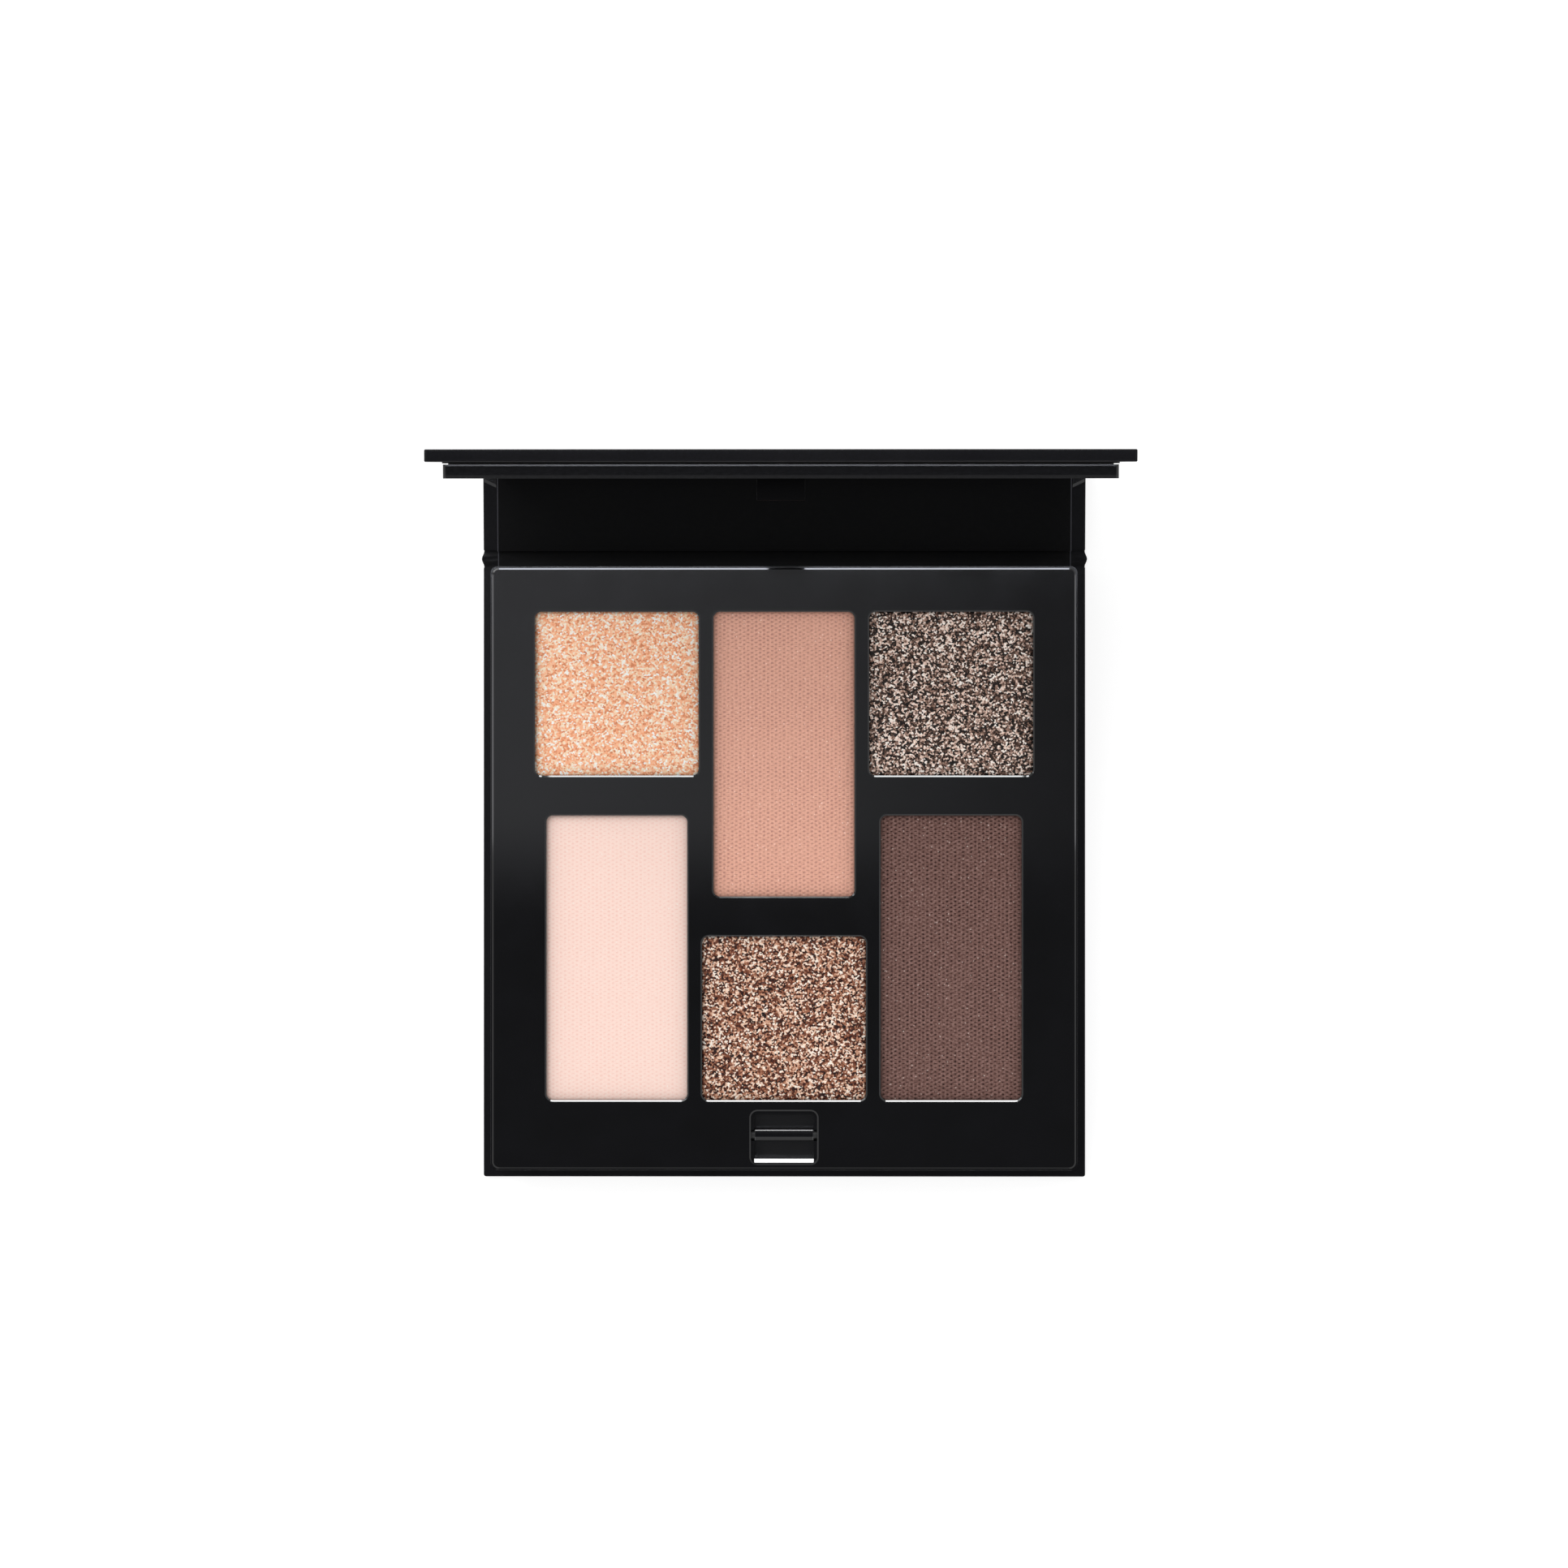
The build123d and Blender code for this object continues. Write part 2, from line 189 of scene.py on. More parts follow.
light = add(sky, "ShaderNodeBackground", {"Color": shown.outputs[2], "Strength": 1})
add(sky, "ShaderNodeOutputWorld", {"Surface": light.outputs[0]})


def area_light(name, place, size, power):
    """A soft lamp or card at a place, turned to face the palette."""
    data = bpy.data.lights.new(name, "AREA")
    data.shape = "RECTANGLE"
    data.size, data.size_y = size
    data.energy = power
    lamp = bpy.data.objects.new(name, data)
    lamp.location = place
    lamp.rotation_euler = (-place).to_track_quat("-Z", "Y").to_euler()
    bpy.context.collection.objects.link(lamp)
    return lamp


area_light("rear_lamp", LAMP_PLACE, (LAMP_SIZE, LAMP_SIZE), LAMP_POWER)
for name, (side, height, shift, size, glow) in CARDS.items():
    rise = math.radians(height)
    level = math.cos(rise)
    place = Vector((side[0] * level, side[1] * level, math.sin(rise))) * CARD_DISTANCE
    place.y += shift
    card = area_light(name, place, size, max(glow) * math.pi * size[0] * size[1])
    card.data.color = [share / max(glow) for share in glow]
    card.visible_diffuse = False

bm = bmesh.new()
bmesh.ops.create_grid(bm, x_segments=1, y_segments=1, size=FLOOR_SIZE / 2)
floor_mesh = bpy.data.meshes.new("floor")
bm.to_mesh(floor_mesh)
bm.free()
floor = bpy.data.objects.new("floor", floor_mesh)
bpy.context.collection.objects.link(floor)
floor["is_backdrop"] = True

# matt white table paper: even, and just bright enough to the lens that only the shadow shows
table_paper = bpy.data.materials.new("table paper, matt white")
table_paper.use_nodes = True
tree = table_paper.node_tree
tree.nodes.clear()
paper = add(tree, "ShaderNodeBsdfDiffuse", {"Color": linear("e6e6e6")})
dim_paper = add(tree, "ShaderNodeBsdfDiffuse", {"Color": linear("b4b4b4")})
glow = add(tree, "ShaderNodeEmission", {"Color": (1, 1, 1, 1), "Strength": TABLE_GLOW})
lit = add(tree, "ShaderNodeAddShader", {0: dim_paper.outputs[0], 1: glow.outputs[0]})
seen = add(tree, "ShaderNodeLightPath").outputs["Is Camera Ray"]
both = add(tree, "ShaderNodeMixShader", {0: seen, 1: paper.outputs[0], 2: lit.outputs[0]})
add(tree, "ShaderNodeOutputMaterial", {"Surface": both.outputs[0]})
floor_mesh.materials.append(table_paper)


# ---- cover --------------------------------------------------------------------------------------
# Three grey boards are laid on one black coated sheet, whose edges turn in over them and are
# glued. Between the boards only the sheet is left, so it bends there as two soft hinges.
spine_joint, lid_joint = frame["joints"]
BASE_FOLD = Vector(spine_joint["pos_m"])
LID_FOLD = Vector(lid_joint["pos_m"])
LEAN = -math.radians(spine_joint["range_deg"][0])
OPENING = -math.radians(lid_joint["range_deg"][0])
PITCH = (LID_FOLD - BASE_FOLD).length
WRAP_LOW, WRAP_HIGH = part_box("base_wrap")
COVER_HALF = WRAP_HIGH.x
PANEL_HALF = -WRAP_LOW.y
PANEL_T = WRAP_HIGH.z
SHEET_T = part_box("base_board")[0].z
LINING_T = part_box("base_liner")[1].z - PANEL_T
TAIL = BASE_FOLD.y - PANEL_HALF
HINGE_HALF = TAIL - SHEET_T - LINING_T
COVER_ROUND = 0.14 * MM
COVER_TONES = [(0.3, "08080b"), (0.7, "0e0e12")]
# Points this close count as being in the same place.
PICK = 0.004 * MM
# An edge whose faces turn by more than this, in radians, counts as square.
SQUARE_TURN = 1


def turned(angle, y):
    """A turn about the fold line at y, with the cover opened out flat."""
    line = Vector((0, y, BASE_FOLD.z))
    return Matrix.Translation(line) @ Matrix.Rotation(angle, 4, "X") @ Matrix.Translation(-line)


SPINE_AT_REST = turned(LEAN, BASE_FOLD.y)
LID_AT_REST = SPINE_AT_REST @ turned(OPENING, BASE_FOLD.y + PITCH)
PANELS = {
    "base": (Matrix.Identity(4), -PANEL_HALF, PANEL_HALF),
    "spine": (SPINE_AT_REST, BASE_FOLD.y + TAIL, BASE_FOLD.y + PITCH - TAIL),
    "lid": (LID_AT_REST, BASE_FOLD.y + PITCH + TAIL, BASE_FOLD.y + PITCH + TAIL + 2 * PANEL_HALF),
}


def everything_in(bm):
    """All of a mesh's points, edges and faces."""
    return bm.verts[:] + bm.edges[:] + bm.faces[:]


def verts_in(parts):
    """The points among some parts of a mesh."""
    return [part for part in parts if isinstance(part, bmesh.types.BMVert)]


def close_holes(bm):
    """Fills every opening in a mesh."""
    bmesh.ops.holes_fill(bm, edges=[e for e in bm.edges if e.is_boundary], sides=0)


def flat_copy(node, rest):
    """The merged mesh of a CAD node, with the cover opened out flat."""
    bm = bmesh.new()
    bm.from_mesh(frame["nodes"][node].data)
    bm.transform(rest.inverted())
    bmesh.ops.remove_doubles(bm, verts=bm.verts, dist=PICK / 4)
    bmesh.ops.dissolve_limit(bm, angle_limit=math.radians(1), verts=bm.verts, edges=bm.edges)
    return bm


def cut_off(bm, y, side):
    """Cuts away what lies beyond y on one side, and closes the cut."""
    bmesh.ops.bisect_plane(
        bm,
        geom=everything_in(bm),
        dist=PICK / 4,
        plane_co=(0, y, 0),
        plane_no=(0, side, 0),
        clear_outer=True,
    )
    close_holes(bm)


def round_edges(bm, chosen, radius, segments=4):
    """Rounds the edges that chosen picks."""
    edges = [e for e in bm.edges if chosen(e)]
    bmesh.ops.bevel(
        bm,
        geom=edges,
        offset=radius,
        offset_type="OFFSET",
        segments=segments,
        profile=0.5,
        affect="EDGES",
        clamp_overlap=True,
        material=-1,
    )


def finish_piece(name, bm, material, rest=Matrix.Identity(4), smooth=35):
    """Makes the finished piece in its place, smooth but for edges sharper than smooth degrees."""
    bm.transform(rest)
    bmesh.ops.recalc_face_normals(bm, faces=bm.faces)
    for edge in bm.edges:
        edge.smooth = edge.calc_face_angle(0) < math.radians(smooth)
    mesh = bpy.data.meshes.new(name)
    bm.to_mesh(mesh)
    bm.free()
    mesh.shade_smooth()
    mesh.materials.append(material)
    made = bpy.data.objects.new(name, mesh)
    bpy.context.collection.objects.link(made)
    # Large flat faces keep their own normals, so that only the rounded edges shade round.
    shading = made.modifiers.new("shading", "WEIGHTED_NORMAL")
    shading.keep_sharp = True
    shading.weight = 100
    return made


def new_material(name):
    """A bare material, its node tree, and the piece's own coordinates in millimetres."""
    made = bpy.data.materials.new(name)
    made.use_nodes = True
    tree = made.node_tree
    tree.nodes.clear()
    place = add(tree, "ShaderNodeTexCoord").outputs["Object"]
    in_mm = add(tree, "ShaderNodeVectorMath", {0: place, 3: 1 / MM}, operation="SCALE")
    return made, tree, in_mm.outputs[0]


# coated paper, film laminated: near black with a cool satin sheen, and a faint fibre telegraphing
cover_paper, tree, place = new_material("black paper, matt film laminated")
fibre = add(tree, "ShaderNodeTexNoise", {"Vector": place, "Scale": 3.2, "Detail": 5, "Roughness": 0.6})
cloud = add(tree, "ShaderNodeTexNoise", {"Vector": place, "Scale": 0.12, "Detail": 2})
tone = add(
    tree, "ShaderNodeValToRGB", {"Fac": fibre.outputs["Fac"]}, stops=COVER_TONES
).outputs[0]
polish = add(tree, "ShaderNodeMapRange", {0: cloud.outputs["Fac"], 1: 0.3, 2: 0.7, 3: 0.28, 4: 0.34})
relief = add(
    tree, "ShaderNodeBump", {"Height": fibre.outputs["Fac"], "Strength": 0.12, "Distance": 0.02 * MM}
)
film = add(
    tree,
    "ShaderNodeBsdfPrincipled",
    {
        "Base Color": tone,
        "Roughness": polish.outputs[0],
        "IOR": 1.49,
        "Specular IOR Level": 0.15,
        "Normal": relief.outputs[0],
    },
)
add(tree, "ShaderNodeOutputMaterial", {"Surface": film.outputs[0]})

for body, (rest, near, far) in PANELS.items():
    bm = flat_copy(f"{body}_wrap", rest)
    if body != "base":
        cut_off(bm, near - TAIL + HINGE_HALF, -1)
    if body != "lid":
        cut_off(bm, far + TAIL - HINGE_HALF, 1)

    def outer(edge, near=near, far=far, body=body):
        a, b = (v.co for v in edge.verts)
        level = abs(a.z - b.z) < PICK and (a.z < PICK or a.z > PANEL_T - PICK)
        side = abs(abs(a.x) - COVER_HALF) < PICK and abs(abs(b.x) - COVER_HALF) < PICK
        free_y = {"base": near, "lid": far}.get(body)
        corner = COVER_ROUND * 2
        end = free_y is not None and all(abs(p.y - free_y) < corner for p in (a, b))
        outline = all(
            abs(abs(p.x) - COVER_HALF) < corner or abs(p.y - (free_y or 0)) < corner for p in (a, b)
        )
        wall = len(edge.link_faces) == 2 and edge.calc_face_angle(0) > math.radians(60)
        return level and wall and (side or (end and outline))

    round_edges(bm, outer, COVER_ROUND)
    cover = finish_piece(f"{body}_cover", bm, cover_paper, rest)
    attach(cover, body)
    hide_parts(f"{body}_wrap")

# the spine's turned-in edges are doubled into a small mitred tuck beside the lid's hinge, where
# the folding tool presses the film smooth, so its slope has a brighter sheen
burnished_paper, tree, place = new_material("black paper, film burnished by the folding tool")
fibre = add(tree, "ShaderNodeTexNoise", {"Vector": place, "Scale": 3.2, "Detail": 5, "Roughness": 0.6})
tone = add(
    tree, "ShaderNodeValToRGB", {"Fac": fibre.outputs["Fac"]}, stops=COVER_TONES
).outputs[0]
polish = add(tree, "ShaderNodeMapRange", {0: fibre.outputs["Fac"], 1: 0.3, 2: 0.7, 3: 0.2, 4: 0.26})
film = add(
    tree, "ShaderNodeBsdfPrincipled", {"Base Color": tone, "Roughness": polish.outputs[0], "IOR": 1.49}
)
add(tree, "ShaderNodeOutputMaterial", {"Surface": film.outputs[0]})
LINING_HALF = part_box("base_liner")[1].x
TUCK_H = 0.18 * MM
TUCK_SLOPE = 0.45 * MM
TUCK_ROUND = 0.04 * MM
TUCK_INSET = 0.12 * MM
TUCK_INNER = LINING_HALF + TUCK_INSET
TUCK_OUTER = COVER_HALF - TUCK_INSET
rest, _, far = PANELS["spine"]
TUCK_REAR = far - 0.05 * MM
# Its front edge is mitred: further forward beside the lining than at the cover's edge.
TUCK_OUTLINE = [
    (TUCK_INNER, far - 2.6 * MM),
    (TUCK_OUTER, far - 1.9 * MM),
    (TUCK_OUTER, TUCK_REAR),
    (TUCK_INNER, TUCK_REAR),
]
for side, word in ((-1, "left"), (1, "right")):
    bm = bmesh.new()
    sunk = PANEL_T - SHEET_T / 4
    foot = bm.faces.new([bm.verts.new((side * x, y, sunk)) for x, y in TUCK_OUTLINE])
    raised = bmesh.ops.extrude_face_region(bm, geom=[foot])
    for v in verts_in(raised["geom"]):
        v.co.z = PANEL_T + TUCK_H
        if v.co.y < TUCK_REAR - PICK:
            v.co.y += TUCK_SLOPE
    round_edges(bm, lambda e: min(v.co.z for v in e.verts) > PANEL_T, TUCK_ROUND, 2)
    tuck = finish_piece(f"spine_tuck_{word}", bm, burnished_paper, rest, smooth=25)
    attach(tuck, "spine")
    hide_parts("spine_wrap")


# ---- hinges -------------------------------------------------------------------------------------
# Where no board stiffens it, the glued sheet is soft: it bulges a little past the boards' ends,
# and its turned-in edges pucker, because the fold squeezes them.
HINGE_STEPS = (220, 18)
BULGE = 0.28 * MM
PUCKER = 0.11 * MM
PUCKER_REACH = 3.2 * MM
# The share of the pucker that is left away from the ends.
PUCKER_MIDDLE = 0.25
# How long and how far apart the creases are, in millimetres.
CREASE_LENGTH = 1.9
CREASE_SPACING = 0.55
COVER_SEED = 3.7
HINGES = {
    "base_fold": ("base", "spine", BASE_FOLD.y, LEAN, Matrix.Identity(4)),
    "lid_fold": ("spine", "lid", BASE_FOLD.y + PITCH, OPENING, SPINE_AT_REST),
}


def eased(share):
    """A smooth step from 0 to 1."""
    share = min(max(share, 0), 1)
    return share * share * (3 - 2 * share)


def hinge_sheet(levels, half_width, fold_y, angle, pucker, bulge, seed):
    """A soft sheet across one fold, between two levels, bent as it is with the palette open."""
    bm = bmesh.new()
    size = Matrix.Diagonal((half_width, HINGE_HALF, 1, 1))
    bmesh.ops.create_grid(
        bm, x_segments=HINGE_STEPS[0], y_segments=HINGE_STEPS[1], size=1, matrix=size
    )
    for v in bm.verts:
        v.co.z = levels[1]
    top = bmesh.ops.extrude_face_region(bm, geom=bm.faces[:])
    for v in verts_in(top["geom"]):
        v.co.z = levels[0]
    for v in bm.verts:
        x, s, z = v.co
        edge = eased((abs(x) - half_width + PUCKER_REACH) / PUCKER_REACH)
        slack = math.cos(math.pi / 2 * s / HINGE_HALF) ** 2
        crease = noise.noise(Vector((x / MM / CREASE_LENGTH, s / MM / CREASE_SPACING, seed)))
        z += pucker * slack * (PUCKER_MIDDLE + edge) * (1 - abs(crease))
        x += math.copysign(bulge * slack * edge, x)
        turn = angle * eased((s + HINGE_HALF) / (2 * HINGE_HALF))
        rise = z - BASE_FOLD.z
        v.co.x = x
        v.co.y = fold_y + s * math.cos(turn) - rise * math.sin(turn)
        v.co.z = BASE_FOLD.z + s * math.sin(turn) + rise * math.cos(turn)
    return bm


def blend_hinge(piece):
    """Bakes a hinge piece's placement into its mesh."""
    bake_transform(piece)


for number, (fold, (_, _, fold_y, angle, rest)) in enumerate(HINGES.items(), 1):
    seed = COVER_SEED * number
    sheet_levels = (0, 2 * SHEET_T)
    bm = hinge_sheet(sheet_levels, COVER_HALF, fold_y, angle, PUCKER, BULGE, seed)
    hinge = finish_piece(f"{fold}_cover", bm, cover_paper, rest, smooth=60)
    blend_hinge(hinge)


# ---- lining -------------------------------------------------------------------------------------
# Thin black coated paper glued over the boards and the turned-in edges, and pressed down into
# both hinges. A pale line is painted along its side edges, as a painted highlight.
LINING_ROUND = 0.03 * MM
LINING_PUCKER = 0.035 * MM
LINING_SEED = 9.1
# How wide the painted highlight along the side edges is, in millimetres.
EDGE_HIGHLIGHT_WIDTH = 0.12

lining_paper, tree, place = new_material("black lining paper, calendered")
fibre = add(tree, "ShaderNodeTexNoise", {"Vector": place, "Scale": 6, "Detail": 6, "Roughness": 0.65})
tone = add(
    tree, "ShaderNodeValToRGB", {"Fac": fibre.outputs["Fac"]}, stops=[(0.3, "060607"), (0.7, "0b0b0c")]
).outputs[0]
relief = add(
    tree, "ShaderNodeBump", {"Height": fibre.outputs["Fac"], "Strength": 0.1, "Distance": 0.02 * MM}
)
sideways = add(tree, "ShaderNodeSeparateXYZ", {0: place}).outputs["X"]
sideways = add(tree, "ShaderNodeMath", {0: sideways}, operation="ABSOLUTE")
# A pale band along the side edges of the top face is a painted highlight.
painted_edge_highlight = add(
    tree,
    "ShaderNodeMapRange",
    {0: sideways.outputs[0], 1: LINING_HALF / MM - EDGE_HIGHLIGHT_WIDTH, 2: LINING_HALF / MM - EDGE_HIGHLIGHT_WIDTH / 2},
)
edge_highlighted = add(
    tree,
    "ShaderNodeMix",
    {0: painted_edge_highlight.outputs[0], 6: tone, 7: linear("4c4c52")},
    data_type="RGBA",
)
coated = add(
    tree,
    "ShaderNodeBsdfPrincipled",
    {
        "Base Color": edge_highlighted.outputs[2],
        "Roughness": 0.3,
        "IOR": 1.47,
        "Specular IOR Level": 0.12,
        "Normal": relief.outputs[0],
    },
)
add(tree, "ShaderNodeOutputMaterial", {"Surface": coated.outputs[0]})

for body, (rest, near, far) in PANELS.items():
    bm = flat_copy(f"{body}_liner", rest)
    if body != "base":
        cut_off(bm, near - TAIL + HINGE_HALF, -1)
    if body != "lid":
        cut_off(bm, far + TAIL - HINGE_HALF, 1)
    top = PANEL_T + LINING_T
    round_edges(
        bm,
        lambda e: all(abs(v.co.z - top) < PICK for v in e.verts)
        and e.calc_face_angle(0) > SQUARE_TURN,
        LINING_ROUND,
        2,
    )
    lining = finish_piece(f"{body}_lining", bm, lining_paper, rest)
    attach(lining, body)
    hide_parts(f"{body}_liner")

for number, (fold, (_, _, fold_y, angle, rest)) in enumerate(HINGES.items(), 1):
    seed = LINING_SEED * number
    levels = (2 * SHEET_T, 2 * SHEET_T + LINING_T)
    bm = hinge_sheet(levels, LINING_HALF, fold_y, angle, LINING_PUCKER, 0, seed)
    hinge = finish_piece(f"{fold}_lining", bm, lining_paper, rest, smooth=60)
    blend_hinge(hinge)


# ---- boards and glue ----------------------------------------------------------------------------
# Grey board inside the cover, and the double-sided films and dots of glue that hold the tray, the
# mirror frame, the mirror and the pans. They are all hidden when the palette is whole.
grey_board, tree, place = new_material("grey board, recycled pulp")
pulp = add(tree, "ShaderNodeTexNoise", {"Vector": place, "Scale": 2.4, "Detail": 8, "Roughness": 0.7})
tone = add(
    tree,
    "ShaderNodeValToRGB",
    {"Fac": pulp.outputs["Fac"]},
    stops=[(0.25, "7d776c"), (0.5, "9a948a"), (0.8, "b3ada1")],
).outputs[0]
relief = add(
    tree, "ShaderNodeBump", {"Height": pulp.outputs["Fac"], "Strength": 0.5, "Distance": 0.04 * MM}
)
board = add(
    tree,
    "ShaderNodeBsdfPrincipled",
    {"Base Color": tone, "Roughness": 0.92, "Normal": relief.outputs[0]},
)
add(tree, "ShaderNodeOutputMaterial", {"Surface": board.outputs[0]})

glue_film, tree, place = new_material("black acrylic adhesive, cast film")
ripple = add(tree, "ShaderNodeTexNoise", {"Vector": place, "Scale": 0.9, "Detail": 3})
tone = add(
    tree, "ShaderNodeValToRGB", {"Fac": ripple.outputs["Fac"]}, stops=[(0.3, "0b0b0b"), (0.7, "131312")]
).outputs[0]
relief = add(
    tree, "ShaderNodeBump", {"Height": ripple.outputs["Fac"], "Strength": 0.2, "Distance": 0.05 * MM}
)
film = add(
    tree,
    "ShaderNodeBsdfPrincipled",
    {"Base Color": tone, "Roughness": 0.35, "IOR": 1.47, "Normal": relief.outputs[0]},
)
add(tree, "ShaderNodeOutputMaterial", {"Surface": film.outputs[0]})


def repaint(node, material):
    """Gives a CAD node a finished material in place of its plain one."""
    mesh = frame["nodes"][node].data
    mesh.materials.clear()
    mesh.materials.append(material)


for body in PANELS:
    repaint(f"{body}_board", grey_board)
for node in ("tray_adhesive", "frame_adhesive", "mirror_tape", "pan_glue"):
    repaint(node, glue_film)


# ---- tray ---------------------------------------------------------------------------------------
# One black moulding with a well for each pan and the catch pocket. It is drawn in two pieces
# that are one here, so their shared faces go and the halves are welded.
TRAY_LOW, TRAY_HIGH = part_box("pan_tray")
HOUSING_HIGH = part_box("catch_housing")[1]
TRAY_ROUND = 0.12 * MM
# Heights in millimetres where the satin wall gives way to the polished lip.
LIP_HEIGHTS = (9.2, 9.3)
# A face looks along an axis when its normal has more than this share of it.
FACING = 0.9

tray_plastic, tree, place = new_material("black ABS, polished moulding")
grain = add(tree, "ShaderNodeTexNoise", {"Vector": place, "Scale": 7, "Detail": 3, "Roughness": 0.6})
tone = add(
    tree, "ShaderNodeValToRGB", {"Fac": grain.outputs["Fac"]}, stops=[(0.3, "0d0d0f"), (0.7, "131315")]
).outputs[0]
height = add(tree, "ShaderNodeSeparateXYZ", {0: place}).outputs["Z"]
polish = add(
    tree,
    "ShaderNodeMapRange",
    {0: height, 1: LIP_HEIGHTS[0], 2: LIP_HEIGHTS[1], 3: 0.22, 4: 0.08},
)
relief = add(
    tree, "ShaderNodeBump", {"Height": grain.outputs["Fac"], "Strength": 0.05, "Distance": 0.01 * MM}
)
abs_skin = add(
    tree,
    "ShaderNodeBsdfPrincipled",
    {
        "Base Color": tone,
        "Roughness": polish.outputs[0],
        "IOR": 1.54,
        "Normal": relief.outputs[0],
    },
)
add(tree, "ShaderNodeOutputMaterial", {"Surface": abs_skin.outputs[0]})

bm = bmesh.new()
for node in ("pan_tray", "catch_housing"):
    bm.from_mesh(frame["nodes"][node].data)
bmesh.ops.remove_doubles(bm, verts=bm.verts, dist=PICK / 4)
shared = []
for face in bm.faces:
    points = [v.co for v in face.verts]
    side = all(abs(abs(p.x) - HOUSING_HIGH.x) < PICK and p.y < HOUSING_HIGH.y + PICK for p in points)
    rear = all(abs(p.y - HOUSING_HIGH.y) < PICK and abs(p.x) < HOUSING_HIGH.x + PICK for p in points)
    if side and abs(face.normal.x) > FACING or rear and abs(face.normal.y) > FACING:
        shared.append(face)
bmesh.ops.delete(bm, geom=shared, context="FACES")
bmesh.ops.remove_doubles(bm, verts=bm.verts, dist=PICK)
close_holes(bm)
bmesh.ops.dissolve_limit(bm, angle_limit=math.radians(1), verts=bm.verts, edges=bm.edges)


def tray_rim(edge):
    """The tray's outer edges, top and bottom, and its upright corners."""
    level = any(all(abs(v.co.z - z) < PICK for v in edge.verts) for z in (TRAY_LOW.z, TRAY_HIGH.z))
    outside = all(
        abs(abs(v.co.x) - TRAY_HIGH.x) < MM or v.co.y < TRAY_LOW.y + MM or v.co.y > TRAY_HIGH.y - MM
        for v in edge.verts
    )
    on_wall = any(
        abs(abs(v.co.x) - TRAY_HIGH.x) < PICK
        or abs(v.co.y - TRAY_LOW.y) < PICK
        or abs(v.co.y - TRAY_HIGH.y) < PICK
        for v in edge.verts
    )
    return level and outside and on_wall and edge.calc_face_angle(0) > SQUARE_TURN


round_edges(bm, tray_rim, TRAY_ROUND, 6)
tray = finish_piece("tray", bm, tray_plastic, smooth=20)
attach(tray, "base")
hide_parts("pan_tray", "catch_housing")


# ---- plate --------------------------------------------------------------------------------------
# A glossy black moulded plate bonded over the tray. It laps each cake, and every opening and the
# rim have a narrow polished chamfer that catches the light as a fine line.
PLATE_LOW, PLATE_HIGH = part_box("bezel_plate")
WINDOW_LAP = 0.1 * MM
WINDOW_RADIUS = 0.8 * MM
CHAMFER = 0.17 * MM
CHAMFER_DROP = 0.068 * MM
# How far the rims and the catch opening drop instead: less, so they catch other lights.
REAR_DROP = 0.0017 * MM
SIDE_DROP = 0.042 * MM
FRONT_DROP = 0.02 * MM
CATCH_DROP = 0.036 * MM
CATCH_OPENING = (7.9 * MM, 6.25 * MM)
CATCH_FROM_FRONT = 0.85 * MM
POWDERS = [f"{shape}_powder_{i}" for shape in ("square", "long") for i in (1, 2, 3)]

plate_gloss, tree, place = new_material("black acrylic, gloss moulded")
haze = add(tree, "ShaderNodeTexNoise", {"Vector": place, "Scale": 0.18, "Detail": 2})
tone = add(
    tree, "ShaderNodeValToRGB", {"Fac": haze.outputs["Fac"]}, stops=[(0.3, "0a0a0b"), (0.7, "0d0d0f")]
).outputs[0]
polish = add(tree, "ShaderNodeMapRange", {0: haze.outputs["Fac"], 1: 0.3, 2: 0.7, 3: 0.03, 4: 0.05})
gloss = add(
    tree,
    "ShaderNodeBsdfPrincipled",
    {"Base Color": tone, "Roughness": polish.outputs[0], "IOR": 1.53},
)
add(tree, "ShaderNodeOutputMaterial", {"Surface": gloss.outputs[0]})


def rounded_outline(bm, low, high, radius, z, segments=14):
    """Edges of a round-cornered rectangle."""
    places = [(low[0], low[1]), (high[0], low[1]), (high[0], high[1]), (low[0], high[1])]
    corners = [bm.verts.new((x, y, z)) for x, y in places]
    bm.faces.new(corners)
    bmesh.ops.bevel(
        bm, geom=corners, offset=radius, segments=segments, profile=0.5, affect="VERTICES", material=-1
    )


bm = bmesh.new()
ridge = PLATE_HIGH.z - CHAMFER_DROP
rounded_outline(bm, PLATE_LOW, PLATE_HIGH, WINDOW_RADIUS, ridge)
lap = Vector((WINDOW_LAP, WINDOW_LAP, 0))
for powder in POWDERS:
    low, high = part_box(powder)
    rounded_outline(bm, low + lap, high - lap, WINDOW_RADIUS, ridge)
catch_front = TRAY_LOW.y + CATCH_FROM_FRONT
catch_low = (-CATCH_OPENING[0] / 2, catch_front)
catch_high = (CATCH_OPENING[0] / 2, catch_front + CATCH_OPENING[1])
rounded_outline(bm, catch_low, catch_high, WINDOW_RADIUS, ridge)
bmesh.ops.delete(bm, geom=bm.faces[:], context="FACES_ONLY")
bmesh.ops.triangle_fill(bm, edges=bm.edges[:], use_beauty=True, normal=(0, 0, 1))
grown = bmesh.ops.extrude_face_region(bm, geom=bm.faces[:])
for v in verts_in(grown["geom"]):
    v.co.z = PLATE_LOW.z
top = [f for f in bm.faces if all(abs(v.co.z - ridge) < PICK for v in f.verts)]
bmesh.ops.recalc_face_normals(bm, faces=bm.faces)
bmesh.ops.inset_region(
    bm,
    faces=top,
    thickness=CHAMFER,
    depth=CHAMFER_DROP,
    use_boundary=True,
    use_even_offset=True,
)
